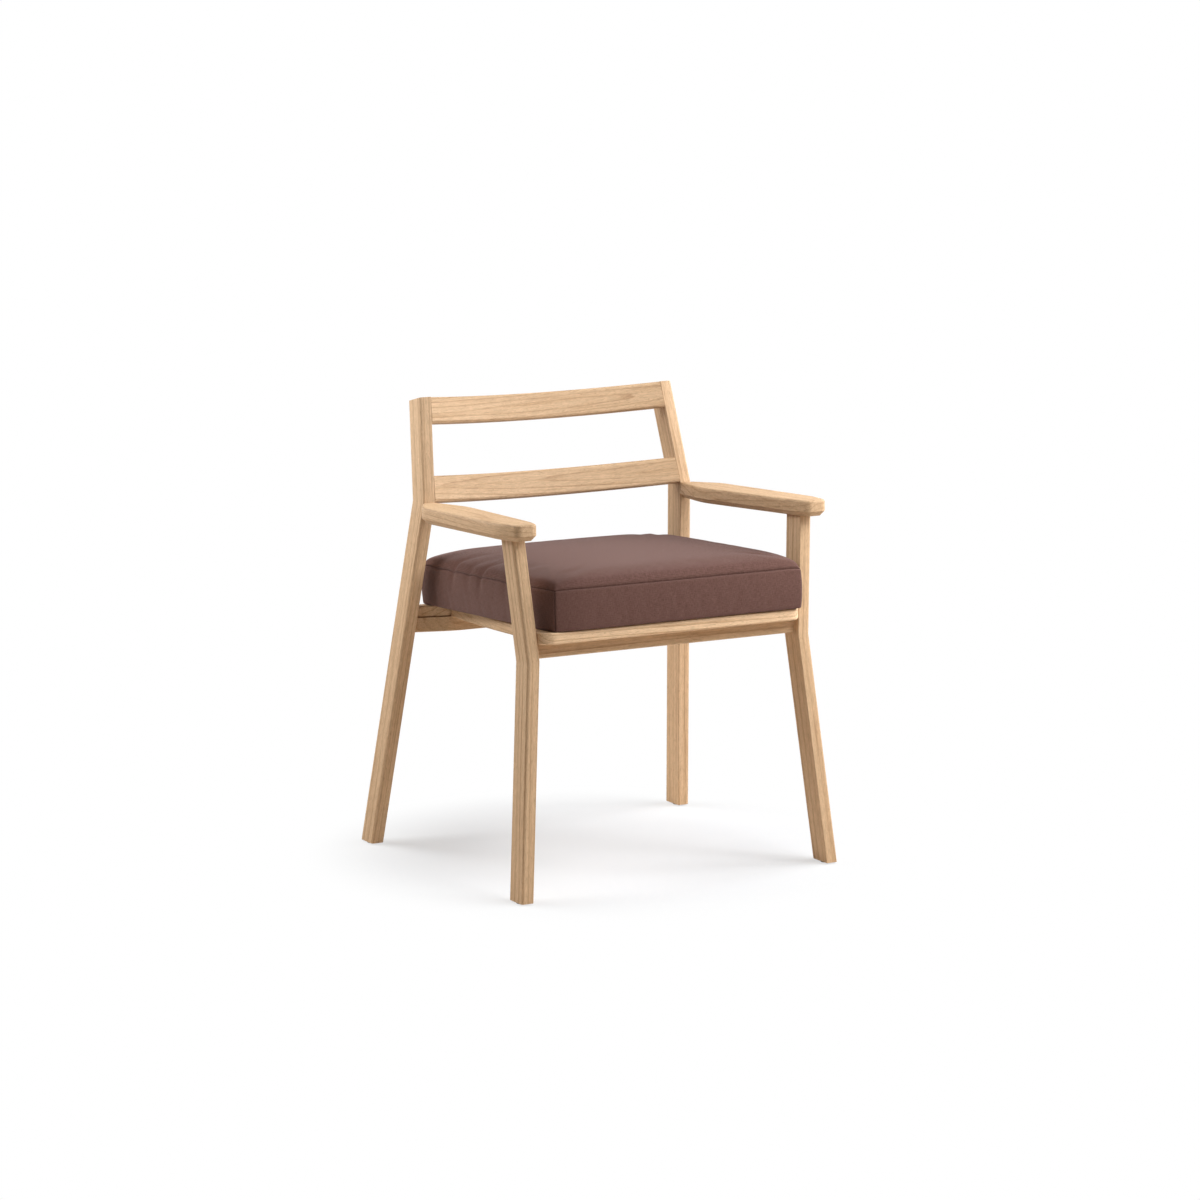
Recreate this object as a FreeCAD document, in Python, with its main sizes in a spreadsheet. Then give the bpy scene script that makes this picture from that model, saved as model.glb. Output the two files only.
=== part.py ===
"""A dining armchair in solid wood with a loose box cushion, as one parametric document in millimetres.

The chair stands on the floor at z = 0 and faces -Y, with +X to the right of someone who looks at its front.
Right-hand pieces are drawn and mirrored, because the chair is the same on both sides.
"""
import FreeCAD
import Part
import Sketcher
import math
import os
from types import SimpleNamespace

from FreeCAD import Placement, Rotation, Vector

DIMENSIONS = (
    ("chair_height", 750, "floor to the top of the back"),
    ("leg_width", 21, "legs, across the chair"),
    ("leg_depth", 42, "legs, front to back"),
    ("leg_round", 4.5, "rounding of the legs' outer long edges"),
    ("leg_inner_round", 1.2, "rounding of the legs' inner long edges"),
    ("leg_top_round", 0.8, "edges of the rear legs' tops"),
    ("glide_height", 2.5, "feet glides, what shows under a leg"),
    ("glide_radius", 8.5, "feet glides, head"),
    ("glide_pin_radius", 2.5, "feet glides, pin"),
    ("glide_pin_length", 16, "feet glides, pin in the leg"),
    ("front_foot_x", 283.5, "middle of a front foot, from the middle of the chair"),
    ("front_foot_y", 247, "middle of a front foot, in front of the middle"),
    ("front_rake", 6, "front legs lean back by this angle"),
    ("front_splay", 5.17, "front legs spread below the knee by this angle"),
    ("front_flare", 4.4, "front legs spread above the knee by this angle"),
    ("knee_height", 375.5, "bend of the front legs"),
    ("rear_foot_x", 296.8, "middle of a rear foot, from the middle of the chair"),
    ("rear_foot_y", 247, "middle of a rear foot, behind the middle"),
    ("rear_splay", 5.28, "rear legs spread downwards by this angle"),
    ("rear_rake", 9.05, "rear legs run back below the elbow by this angle"),
    ("back_recline", 13.9, "rear legs lean back above the elbow by this angle"),
    ("elbow_height", 582, "bend of the rear legs"),
    ("seat_tilt", 2.6, "seat falls to the rear by this angle"),
    ("arm_tilt", 2.25, "arms fall to the rear by this angle"),
    ("arm_height", 587.4, "top of the arms at the middle of the chair"),
    ("arm_thick", 26.5, "arms"),
    ("arm_front", 238.5, "front end of the arms, in front of the middle"),
    ("arm_nose_inner", 248.5, "inner corner of the arms' front end"),
    ("arm_nose_outer", 284, "outer corner of the arms' front end"),
    ("arm_cheek_y", 207, "where the arms' inner edge turns in to the front"),
    ("arm_cheek_inner", 240, "inner edge there"),
    ("arm_swell_y", 188, "where the arms' outer edge stands out most, in front of the middle"),
    ("arm_swell_outer", 294.5, "outer edge there, before its bend is rounded"),
    ("arm_waist_y", 50, "where the arms' inner edge stands in most, behind the middle"),
    ("arm_waist_inner", 216, "inner edge there"),
    ("arm_shoulder_y", 82, "where the arms start to narrow to the rear, behind the middle"),
    ("arm_shoulder_outer", 284.5, "outer edge there"),
    ("arm_nose_round", 12, "upright corners of the arms' front end"),
    ("arm_cheek_round", 100, "bend of the inner edge near the front"),
    ("arm_swell_round", 160, "bend of the outer edge near the front"),
    ("arm_shoulder_round", 60, "bend of the outer edge near the rear"),
    ("arm_waist_round", 220, "bend of the inner edge"),
    ("arm_edge_round", 4, "upper edges of the arms"),
    ("arm_chamfer", 8, "lower edges of the arms"),
    ("rail_height", 44, "back rails"),
    ("rail_thick", 20, "back rails"),
    ("rail_round", 5, "edges of the back rails"),
    ("rail_bow", 43.5, "back rails stand back at the middle"),
    ("seat_height", 412.3, "top of the seat boards at the middle of the chair"),
    ("board_thick", 19, "boards of the seat frame"),
    ("board_edge", 2.5, "edges of the seat boards"),
    ("front_board_y", 242, "front edge of the front board, in front of the middle"),
    ("front_board_depth", 60, "front board, front to back"),
    ("front_board_half", 240.8, "half the front board's length"),
    ("front_board_round", 25, "front corners of the front board"),
    ("rear_board_y", 158, "front edge of the rear board, behind the middle"),
    ("rear_board_depth", 45, "rear board, front to back"),
    ("side_board_front", 222, "outer edge of a side board at its front end"),
    ("side_board_rear", 192, "outer edge of a side board at its rear end"),
    ("side_board_width", 48, "side boards"),
    ("side_board_bow", 6, "how far a side board stands out between its ends"),
    ("apron_height", 24, "rails under the seat frame"),
    ("front_apron_y", 212, "front face of the front apron, in front of the middle"),
    ("front_apron_thick", 22, "front apron"),
    ("rear_apron_y", 156, "front face of the rear apron, behind the middle"),
    ("rear_apron_thick", 20, "rear apron"),
    ("sweep_start", 186, "where the rear apron and board start to run back to the legs"),
    ("sweep_end", 251, "where they meet the legs"),
    ("sweep_depth", 26, "how far their ends run back"),
    ("sweep_round", 90, "bend where they start to run back"),
    ("slat_count", 6, "seat slats"),
    ("slat_pitch", 48, "seat slats, middle to middle"),
    ("slat_width", 36, "seat slats"),
    ("slat_thick", 12, "seat slats"),
    ("slat_edge", 2, "upper edges of the seat slats"),
    ("tongue_thick", 6, "tongues at the slats' ends"),
    ("tongue_length", 9, "tongues at the slats' ends"),
    ("tenon_thick", 10, "tenons"),
    ("tenon_reach", 13, "tenons, what goes into the other piece"),
    ("tenon_root", 6, "tenons, what lies in their own piece"),
    ("joint_gap", 0.2, "glue gap in the joints"),
    ("screw_radius", 2.2, "seat screws, shank"),
    ("screw_head_radius", 4.5, "seat screws, countersunk head"),
    ("screw_head_height", 3, "seat screws, countersunk head"),
    ("screw_length", 36, "seat screws"),
    ("screw_spread", 150, "outer seat screws, from the middle of the chair"),
    ("cushion_width", 468, "cushion, side to side"),
    ("cushion_front", 247, "cushion's front, in front of the middle"),
    ("cushion_rear", 198, "cushion's rear, behind the middle"),
    ("cushion_height", 96, "cushion at its middle"),
    ("cushion_crown", 10, "fall of its top from the middle to the sides"),
    ("cushion_corner", 22.5, "upright corners of the cushion"),
    ("cushion_top_round", 20, "upper edges of the cushion"),
    ("cushion_foot_round", 9, "lower edges of the cushion"),
    ("cushion_lift", 0.4, "gap between the cushion and the seat boards"),
    ("cover_thick", 2, "cushion cover with its lining"),
    ("foam_gap", 0.3, "gap between the foam and the cover"),
)

doc = FreeCAD.newDocument("dining_armchair")
sheet = doc.addObject("Spreadsheet::Sheet", "dims")
for row, (alias, number, note) in enumerate(DIMENSIONS, start=1):
    sheet.set(f"A{row}", note)
    sheet.set(f"B{row}", str(number))
    sheet.setAlias(f"B{row}", alias)
doc.recompute()
d = SimpleNamespace(**{alias: float(sheet.get(alias)) for alias, _, _ in DIMENSIONS})

X_AXIS = Vector(1, 0, 0)
LEVEL = Rotation()
FAR = 900


def slope(angle):
    """The rise of a line at an angle in degrees."""
    return math.tan(math.radians(angle))


def leaning(base, angle):
    """A frame at a point, leaning back about X by an angle in degrees."""
    return Placement(base, Rotation(X_AXIS, -angle))


def moved(frame, x, y, z):
    """A frame moved along its own axes."""
    return frame.multiply(Placement(Vector(x, y, z), LEVEL))


def front_leg_middle(z):
    """The middle of the right front leg at a height."""
    spread = min(z, d.knee_height) * slope(d.front_splay)
    flare = max(z - d.knee_height, 0) * slope(d.front_flare)
    return Vector(d.front_foot_x - spread + flare, z * slope(d.front_rake) - d.front_foot_y, z)


def rear_leg_middle(z):
    """The middle of the right rear leg at a height."""
    below = min(z, d.elbow_height) * slope(d.rear_rake)
    above = max(z - d.elbow_height, 0) * slope(d.back_recline)
    return Vector(d.rear_foot_x - z * slope(d.rear_splay), d.rear_foot_y - below + above, z)


# Frames that groups of pieces share: the seat, the arms and the reclined back
SEAT = leaning(Vector(0, 0, d.seat_height), d.seat_tilt)
ARMS = leaning(Vector(0, 0, d.arm_height), d.arm_tilt)
ELBOW = rear_leg_middle(d.elbow_height)
BACK = leaning(Vector(0, ELBOW.y - d.leg_depth / 2, d.elbow_height), d.back_recline)


def origin_feature(body, role):
    """One of a body's own origin planes or axes."""
    return next(item for item in body.Origin.OriginFeatures if item.Role == role)


def new_body(name, place):
    body = doc.addObject("PartDesign::Body", name)
    body.Placement = place
    return body


def new_sketch(body, name, role, offset=Placement()):
    """A sketch on one of the body's origin planes, or on a plane offset from it."""
    sketch = body.newObject("Sketcher::SketchObject", name)
    sketch.AttachmentSupport = (origin_feature(body, role), [""])
    sketch.MapMode = "FlatFace"
    sketch.AttachmentOffset = offset
    return sketch


def from_origin(sketch, kind, geometry, point, text):
    """Holds a point of a sketch at a distance from its origin that the sheet gives."""
    index = sketch.addConstraint(Sketcher.Constraint(kind, -1, 1, geometry, point, 1.0))
    sketch.setExpression(f"Constraints[{index}]", text)


def polygon(sketch, corners):
    """Draws a closed outline through corners whose places are expressions of the sheet."""
    count = len(corners)
    turns = [2 * math.pi * i / count for i in range(count)]
    rough = [Vector(math.cos(turn), math.sin(turn), 0) for turn in turns]
    for i in range(count):
        sketch.addGeometry(Part.LineSegment(rough[i], rough[(i + 1) % count]))
    for i in range(count):
        sketch.addConstraint(Sketcher.Constraint("Coincident", i, 2, (i + 1) % count, 1))
    for i, (across, along) in enumerate(corners):
        from_origin(sketch, "DistanceX", i, 1, across)
        from_origin(sketch, "DistanceY", i, 1, along)


def rounded_rectangle(sketch, across, along, radius, left_radius=None):
    """Draws a rounded rectangle about the sketch's origin, with its sizes from the sheet.

    Its two left corners can have a radius of their own.
    """
    turns = (270, 0, 90, 180)
    centres = (Vector(1, -2, 0), Vector(1, 2, 0), Vector(-1, 2, 0), Vector(-1, -2, 0))
    lines = ((-1, -3, 1, -3), (2, -2, 2, 2), (1, 3, -1, 3), (-2, 2, -2, -2))
    for x1, y1, x2, y2 in lines:
        sketch.addGeometry(Part.LineSegment(Vector(x1, y1, 0), Vector(x2, y2, 0)))
    for centre, turn in zip(centres, turns):
        circle = Part.Circle(centre, Vector(0, 0, 1), 1)
        sketch.addGeometry(Part.ArcOfCircle(circle, math.radians(turn), math.radians(turn + 90)))
    for side in range(4):
        arc = 4 + side
        sketch.addConstraint(Sketcher.Constraint("Tangent", side, 2, arc, 1))
        sketch.addConstraint(Sketcher.Constraint("Tangent", arc, 2, (side + 1) % 4, 1))
        sketch.addConstraint(Sketcher.Constraint("Vertical" if side % 2 else "Horizontal", side))
    for arc, size in ((4, radius), (6, left_radius or radius)):
        sketch.addConstraint(Sketcher.Constraint("Equal", arc, arc + 1))
        index = sketch.addConstraint(Sketcher.Constraint("Radius", arc, 1.0))
        sketch.setExpression(f"Constraints[{index}]", size)
    from_origin(sketch, "DistanceX", 1, 1, f"{across} / 2")
    from_origin(sketch, "DistanceX", 3, 1, f"-{across} / 2")
    from_origin(sketch, "DistanceY", 2, 1, f"{along} / 2")
    from_origin(sketch, "DistanceY", 0, 1, f"-{along} / 2")


def pad(body, sketch, length, both_ways=False, reverse=False):
    """Extrudes a sketch by a length that the sheet gives."""
    feature = body.newObject("PartDesign::Pad", f"{body.Name}_pad")
    feature.Profile = sketch
    feature.setExpression("Length", length)
    feature.Midplane = both_ways
    feature.Reversed = reverse
    doc.recompute()
    return feature


def chosen_edges(feature, test):
    """The names of a feature's edges that pass a test."""
    return [f"Edge{i}" for i, edge in enumerate(feature.Shape.Edges, start=1) if test(edge)]


def dress(body, kind, base, size, test):
    """Rounds or chamfers the edges of a body's last feature that pass a test."""
    feature = body.newObject(f"PartDesign::{kind}", f"{body.Name}_{kind}")
    feature.Base = (base, chosen_edges(base, test))
    feature.setExpression("Radius" if kind == "Fillet" else "Size", size)
    doc.recompute()
    return feature


def upright_near(*places):
    """A test for the upright edges at some points of a plan."""
    def test(edge):
        ends = [vertex.Point for vertex in edge.Vertexes]
        return any(all(math.hypot(end.x - x, end.y - y) < 0.5 for end in ends) for x, y in places)
    return test


def at_height(z):
    """A test for edges that lie at one height."""
    return lambda edge: edge.BoundBox.ZMax - edge.BoundBox.ZMin < 0.01 and abs(edge.BoundBox.ZMin - z) < 0.01


def block(name, place, across, along, up, grow=0):
    """A box about the middle of a frame, with sizes from the sheet; grow is the gap around it."""
    box = doc.addObject("Part::Box", name)
    box.setExpression("Length", f"{across} + {2 * grow} * dims.joint_gap")
    box.setExpression("Width", f"{along} + {2 * grow} * dims.joint_gap")
    box.setExpression("Height", f"{up} + {2 * grow} * dims.joint_gap")
    doc.recompute()
    half = Vector(box.Length.Value, box.Width.Value, box.Height.Value) * -0.5
    box.Placement = place.multiply(Placement(half, LEVEL))
    return box


def tenon_pair(name, place, across, along, up):
    """A tenon and the mortise that takes it."""
    tenon = block(f"{name}_tenon", place, across, along, up)
    mortise = block(f"{name}_mortise", place, across, along, up, 1)
    return tenon, mortise


def fuse(name, pieces):
    result = doc.addObject("Part::MultiFuse", name)
    result.Shapes = pieces
    result.Refine = True
    return result


def common(name, pieces):
    result = doc.addObject("Part::MultiCommon", name)
    result.Shapes = pieces
    return result


def cut(name, base, tools):
    """Cuts several tools out of a piece."""
    group = doc.addObject("Part::Compound", f"{name}_tools")
    group.Links = tools
    result = doc.addObject("Part::Cut", name)
    result.Base = base
    result.Tool = group
    return result


def mirrored(name, source):
    """The left-hand copy of a right-hand piece."""
    copy = doc.addObject("Part::Mirroring", name)
    copy.Source = source
    copy.Normal = X_AXIS
    return copy


finished = []


def finish_pair(name, right):
    """Keeps a right-hand piece and its left-hand copy as sub-parts."""
    right.Label = f"{name}_right"
    finished.append(right)
    left = mirrored(f"{name}_left_copy", right)
    left.Label = f"{name}_left"
    finished.append(left)


def finish_one(name, piece):
    piece.Label = name
    finished.append(piece)


# Joints of the arms: the front legs' tenons go up into the arms, and the arms' tenons back into the rear legs
UNDER_ARM = d.arm_height - d.arm_thick / math.cos(math.radians(d.arm_tilt))
FRONT_TOP = (UNDER_ARM + d.front_foot_y * slope(d.arm_tilt)) / (1 + slope(d.arm_tilt) * slope(d.front_rake))
ARM_MIDDLE = (ELBOW.z + UNDER_ARM) / 2
front_top = front_leg_middle(FRONT_TOP)
arm_seat = ARMS.inverse().multVec(front_top)
leg_tenon, arm_mortise = tenon_pair(
    "arm_front",
    moved(ARMS, arm_seat.x, arm_seat.y, (d.tenon_reach - d.tenon_root) / 2 - d.arm_thick),
    "dims.tenon_thick", "dims.leg_depth * 0.6", "(dims.tenon_reach + dims.tenon_root)")
arm_end = ARMS.inverse().multVec(rear_leg_middle(ARM_MIDDLE) - Vector(0, d.leg_depth / 2, 0))
arm_tenon, post_mortise = tenon_pair(
    "arm_rear",
    moved(ARMS, arm_end.x, arm_end.y + (d.tenon_reach - d.tenon_root) / 2, -d.arm_thick / 2 + 1),
    "dims.tenon_thick", "(dims.tenon_reach + dims.tenon_root)", "dims.arm_thick / 2")

# Joints of the back rails, whose tenons go out into the rear legs
BACK_LENGTH = (d.chair_height - d.elbow_height) / math.cos(math.radians(d.back_recline))
RAIL_PLACES = {
    "lower_back_rail": d.rail_height / 2,
    "top_back_rail": BACK_LENGTH - d.rail_height / 2,
}
rail_joints = {}
for rail, up in RAIL_PLACES.items():
    height = BACK.multVec(Vector(0, 0, up)).z
    half_span = rear_leg_middle(height).x - d.leg_width / 2
    rail_joints[rail] = tenon_pair(
        f"{rail}_end",
        moved(BACK, half_span + (d.tenon_reach - d.tenon_root) / 2, d.rail_thick * 0.55, up),
        "(dims.tenon_reach + dims.tenon_root)", "dims.tenon_thick", "dims.rail_height * 0.7")

# Joints of the aprons, whose tenons go out into the legs under the seat frame
APRON_MIDDLE = -d.board_thick - d.apron_height / 2
front_apron_middle = d.front_apron_thick / 2 - d.front_apron_y
rear_apron_end = d.rear_apron_y + d.sweep_depth + d.rear_apron_thick / 2
apron_joints = {}
for apron, middle, leg_at in (("front_apron", front_apron_middle, front_leg_middle),
                              ("rear_apron", rear_apron_end, rear_leg_middle)):
    height = SEAT.multVec(Vector(0, middle, APRON_MIDDLE)).z
    half_span = leg_at(height).x - d.leg_width / 2
    apron_joints[apron] = tenon_pair(
        f"{apron}_end",
        moved(SEAT, half_span + (d.tenon_reach - d.tenon_root) / 2, middle, APRON_MIDDLE),
        "(dims.tenon_reach + dims.tenon_root)", "dims.tenon_thick", "dims.apron_height * 0.65")


def leg_section(body, name, middle, angle):
    """The section of a right-hand leg, rounder outside than inside, at a point of it and leaning back."""
    sketch = new_sketch(body, name, "XY_Plane", leaning(middle - body.Placement.Base, angle))
    rounded_rectangle(sketch, "dims.leg_width", "dims.leg_depth", "dims.leg_round", "dims.leg_inner_round")
    return sketch


def leg_blank(name, stations):
    """A bent leg: its section carried in straight runs from the foot through the bend to the top."""
    body = new_body(name, Placement(stations[0][0], LEVEL))
    sketches = [leg_section(body, f"{name}_section_{i}", *station) for i, station in enumerate(stations)]
    loft = body.newObject("PartDesign::AdditiveLoft", f"{name}_loft")
    loft.Profile = sketches[0]
    loft.Sections = sketches[1:]
    loft.Ruled = True
    doc.recompute()
    return body


def glide_hole(name, foot):
    """The hole for a glide's pin, up from the foot."""
    hole = doc.addObject("Part::Cylinder", name)
    hole.setExpression("Radius", "dims.glide_pin_radius + dims.joint_gap / 2")
    hole.setExpression("Height", "dims.glide_pin_length + 1")
    hole.Placement = Placement(foot - Vector(0, 0, 0.5), LEVEL)
    return hole


# Front legs: cut square to their lean at the knee, level at the foot and along the arm at the top
front_foot = front_leg_middle(d.glide_height)
front_blank = leg_blank("front_leg_blank", (
    (front_foot, 0),
    (front_leg_middle(d.knee_height), d.front_rake),
    (front_top, d.arm_tilt),
))
front_body = fuse("front_leg_body", [front_blank, leg_tenon])
front_holes = [apron_joints["front_apron"][1], glide_hole("front_glide_hole", front_foot)]
finish_pair("front_leg", cut("front_leg_cut", front_body, front_holes))

# Rear legs: one piece from the foot to the top of the back, with the top cut square to its lean
rear_foot = rear_leg_middle(d.glide_height)
rear_blank = leg_blank("rear_leg_blank", (
    (rear_foot, 0),
    (ELBOW, 0),
    (rear_leg_middle(d.chair_height + d.leg_round), 0),
))
rear_top = leaning(rear_leg_middle(d.chair_height) - Vector(0, d.leg_depth / 2, 0), d.back_recline)
above = rear_blank.newObject("PartDesign::SubtractiveBox", "rear_leg_top")
above.Length = FAR
above.Width = FAR
above.Height = FAR
above.Placement = rear_blank.Placement.inverse().multiply(moved(rear_top, -FAR / 2, -FAR / 2, 0))
doc.recompute()


def on_rear_top(edge):
    """Whether an edge lies in the cut at the top of a rear leg."""
    to_top = rear_top.inverse().multiply(rear_blank.Placement)
    ends = [to_top.multVec(vertex.Point) for vertex in edge.Vertexes]
    return all(abs(point.z) < 0.01 for point in ends)


dress(rear_blank, "Fillet", above, "dims.leg_top_round", on_rear_top)
rear_mortises = [post_mortise, apron_joints["rear_apron"][1]] + [pair[1] for pair in rail_joints.values()]
finish_pair("rear_leg", cut(
    "rear_leg_cut", rear_blank, rear_mortises + [glide_hole("rear_glide_hole", rear_foot)]))


def glide(name, foot):
    """A turned plastic glide: a domed head under the foot and a pin up into the leg."""
    body = new_body(name, Placement(Vector(foot.x, foot.y, 0), LEVEL))
    profile = new_sketch(body, f"{name}_profile", "XZ_Plane")
    polygon(profile, (
        ("0", "0"),
        ("dims.glide_radius - 1", "0"),
        ("dims.glide_radius", "1"),
        ("dims.glide_radius", "dims.glide_height"),
        ("dims.glide_pin_radius", "dims.glide_height"),
        ("dims.glide_pin_radius", "dims.glide_height + dims.glide_pin_length"),
        ("0", "dims.glide_height + dims.glide_pin_length"),
    ))
    turned = body.newObject("PartDesign::Revolution", f"{name}_turned")
    turned.Profile = profile
    turned.ReferenceAxis = (origin_feature(body, "Z_Axis"), [""])
    doc.recompute()
    return body


finish_pair("front_glide", glide("front_glide_turned", front_foot))
finish_pair("rear_glide", glide("rear_glide_turned", rear_foot))


def between_legs(name, low, high, leg_at):
    """A wedge that fills the chair between a pair of legs' inner faces, to cut rails to length."""
    body = new_body(name, Placement())
    sketch = new_sketch(body, f"{name}_outline", "XZ_Plane")
    inner = [leg_at(z).x - d.leg_width / 2 - d.joint_gap for z in (low, high)]
    polygon(sketch, (
        (f"{-inner[0]}", f"{low}"), (f"{inner[0]}", f"{low}"),
        (f"{inner[1]}", f"{high}"), (f"{-inner[1]}", f"{high}"),
    ))
    pad(body, sketch, f"{FAR}", both_ways=True)
    return body


front_span = between_legs("front_span", d.knee_height, d.seat_height + d.board_thick, front_leg_middle)
rear_span = between_legs("rear_span", d.seat_height / 2, d.chair_height + d.rail_height, rear_leg_middle)


def back_rail(name):
    """A back rail: a rounded section turned about an axis in front, cut to length between the rear legs."""
    up = RAIL_PLACES[name]
    height = BACK.multVec(Vector(0, 0, up)).z
    half_span = rear_leg_middle(height).x - d.leg_width / 2
    radius = (half_span ** 2 + d.rail_bow ** 2) / (2 * d.rail_bow)
    body = new_body(f"{name}_blank", moved(BACK, 0, d.rail_bow - radius, up))
    section = new_sketch(body, f"{name}_section", "YZ_Plane",
                         Placement(Vector(radius + d.rail_thick / 2, 0, 0), LEVEL))
    rounded_rectangle(section, "dims.rail_thick", "dims.rail_height", "dims.rail_round")
    turned = body.newObject("PartDesign::Revolution", f"{name}_turned")
    turned.Profile = section
    turned.ReferenceAxis = (origin_feature(body, "Z_Axis"), [""])
    turned.Angle = 2 * math.degrees(math.asin((half_span + d.rail_height / 2) / radius))
    turned.Midplane = True
    doc.recompute()
    tenon = rail_joints[name][0]
    trimmed = common(f"{name}_trimmed", [body, rear_span])
    return fuse(f"{name}_fused", [trimmed, tenon, mirrored(f"{name}_tenon_left", tenon)])


for rail in RAIL_PLACES:
    finish_one(rail, back_rail(rail))


def armrest():
    """A right arm: an outline with bent edges, cut to the rear leg's face, soft above, chamfered below."""
    body = new_body("armrest_blank", ARMS)
    outline = new_sketch(body, "armrest_outline", "XY_Plane")
    end_y = arm_end.y + d.arm_thick / 2
    polygon(outline, (
        ("dims.arm_nose_inner", "-dims.arm_front"),
        ("dims.arm_nose_outer", "-dims.arm_front"),
        ("dims.arm_swell_outer", "-dims.arm_swell_y"),
        ("dims.arm_shoulder_outer", "dims.arm_shoulder_y"),
        (f"{arm_end.x} + dims.leg_width / 2", f"{arm_end.y}"),
        (f"{arm_end.x} + dims.leg_width / 2", f"{end_y}"),
        (f"{arm_end.x} - dims.leg_width / 2", f"{end_y}"),
        (f"{arm_end.x} - dims.leg_width / 2", f"{arm_end.y}"),
        ("dims.arm_waist_inner", "dims.arm_waist_y"),
        ("dims.arm_cheek_inner", "-dims.arm_cheek_y"),
    ))
    last = pad(body, outline, "dims.arm_thick", reverse=True)
    bends = (
        ("dims.arm_swell_round", ((d.arm_swell_outer, -d.arm_swell_y),)),
        ("dims.arm_cheek_round", ((d.arm_cheek_inner, -d.arm_cheek_y),)),
        ("dims.arm_waist_round", ((d.arm_waist_inner, d.arm_waist_y),)),
        ("dims.arm_shoulder_round", ((d.arm_shoulder_outer, d.arm_shoulder_y),)),
        ("dims.arm_nose_round", ((d.arm_nose_inner, -d.arm_front), (d.arm_nose_outer, -d.arm_front))),
    )
    for radius, corners in bends:
        last = dress(body, "Fillet", last, radius, upright_near(*corners))
    face = rear_leg_middle(ARM_MIDDLE) - Vector(0, d.leg_depth / 2 + d.joint_gap, 0)
    behind = leaning(face, -d.rear_rake)
    trim = body.newObject("PartDesign::SubtractiveBox", "armrest_end")
    trim.Length = FAR
    trim.Width = FAR
    trim.Height = FAR
    trim.Placement = ARMS.inverse().multiply(moved(behind, -FAR / 2, 0, -FAR / 2))
    doc.recompute()
    under = at_height(-d.arm_thick)
    last = dress(
        body, "Chamfer", trim, "dims.arm_chamfer",
        lambda edge: under(edge) and not across_rear(edge))
    dress(body, "Fillet", last, "dims.arm_edge_round", at_height(0))
    return cut("armrest_cut", fuse("armrest_fused", [body, arm_tenon]), [arm_mortise])


def across_rear(edge):
    """Whether an edge runs across the rear end of an arm."""
    return edge.BoundBox.YLength < 0.01 and edge.BoundBox.YMin > 0


finish_pair("armrest", armrest())


def swept_outline(front, depth):
    """Corners of a rear rail in plan: straight in the middle, with ends that run back to the legs."""
    run = d.sweep_depth / (d.sweep_end - d.sweep_start)
    spare = d.tenon_reach
    reach = d.sweep_end + spare
    back = d.sweep_depth + run * spare
    right = (
        (f"{d.sweep_start}", f"{front}"),
        (f"{reach}", f"{front} + {back}"),
        (f"{reach}", f"{front} + {back} + {depth}"),
        (f"{d.sweep_start}", f"{front} + {depth}"),
    )
    left = [(f"-{x}", y) for x, y in reversed(right)]
    return list(right) + left


def rear_apron():
    """The rear rail under the seat, which runs back at its ends into the rear legs."""
    body = new_body("rear_apron_blank", moved(SEAT, 0, 0, -d.board_thick))
    outline = new_sketch(body, "rear_apron_outline", "XY_Plane")
    polygon(outline, swept_outline("dims.rear_apron_y", "dims.rear_apron_thick"))
    last = pad(body, outline, "dims.apron_height", reverse=True)
    bend = d.rear_apron_y, d.rear_apron_y + d.rear_apron_thick
    bends = [(side * d.sweep_start, y) for side in (-1, 1) for y in bend]
    last = dress(body, "Fillet", last, "dims.sweep_round", upright_near(*bends))
    dress(body, "Fillet", last, "dims.board_edge", at_height(-d.apron_height))
    return body, rear_span


def front_apron():
    """The straight rail under the front of the seat, set back from the front legs' faces."""
    body = new_body("front_apron_blank", moved(SEAT, 0, 0, -d.board_thick))
    outline = new_sketch(body, "front_apron_outline", "XY_Plane")
    half = "(dims.front_board_half + dims.tenon_reach)"
    back = "(dims.front_apron_thick - dims.front_apron_y)"
    polygon(outline, (
        (f"-{half}", "-dims.front_apron_y"), (half, "-dims.front_apron_y"), (half, back), (f"-{half}", back)))
    last = pad(body, outline, "dims.apron_height", reverse=True)
    dress(body, "Fillet", last, "dims.board_edge", at_height(-d.apron_height))
    return body, front_span


def screw(name, place):
    """A countersunk screw, up through an apron into the board above."""
    body = new_body(name, place)
    profile = new_sketch(body, f"{name}_profile", "XZ_Plane")
    polygon(profile, (
        ("0", "0"),
        ("dims.screw_head_radius", "0"),
        ("dims.screw_radius", "dims.screw_head_height"),
        ("dims.screw_radius", "dims.screw_length - dims.screw_head_height"),
        ("0", "dims.screw_length"),
    ))
    turned = body.newObject("PartDesign::Revolution", f"{name}_turned")
    turned.Profile = profile
    turned.ReferenceAxis = (origin_feature(body, "Z_Axis"), [""])
    doc.recompute()
    return body


def screw_hole(name, place):
    """The countersunk hole that clears a screw."""
    body = doc.addObject("Part::Cylinder", f"{name}_shank")
    body.setExpression("Radius", "dims.screw_radius + dims.joint_gap")
    body.setExpression("Height", "dims.screw_length + 1")
    body.Placement = place
    head = doc.addObject("Part::Cone", f"{name}_head")
    head.setExpression("Radius1", "dims.screw_head_radius + dims.joint_gap")
    head.setExpression("Radius2", "dims.screw_radius + dims.joint_gap")
    head.setExpression("Height", "dims.screw_head_height")
    head.Placement = place
    return fuse(name, [body, head])


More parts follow.
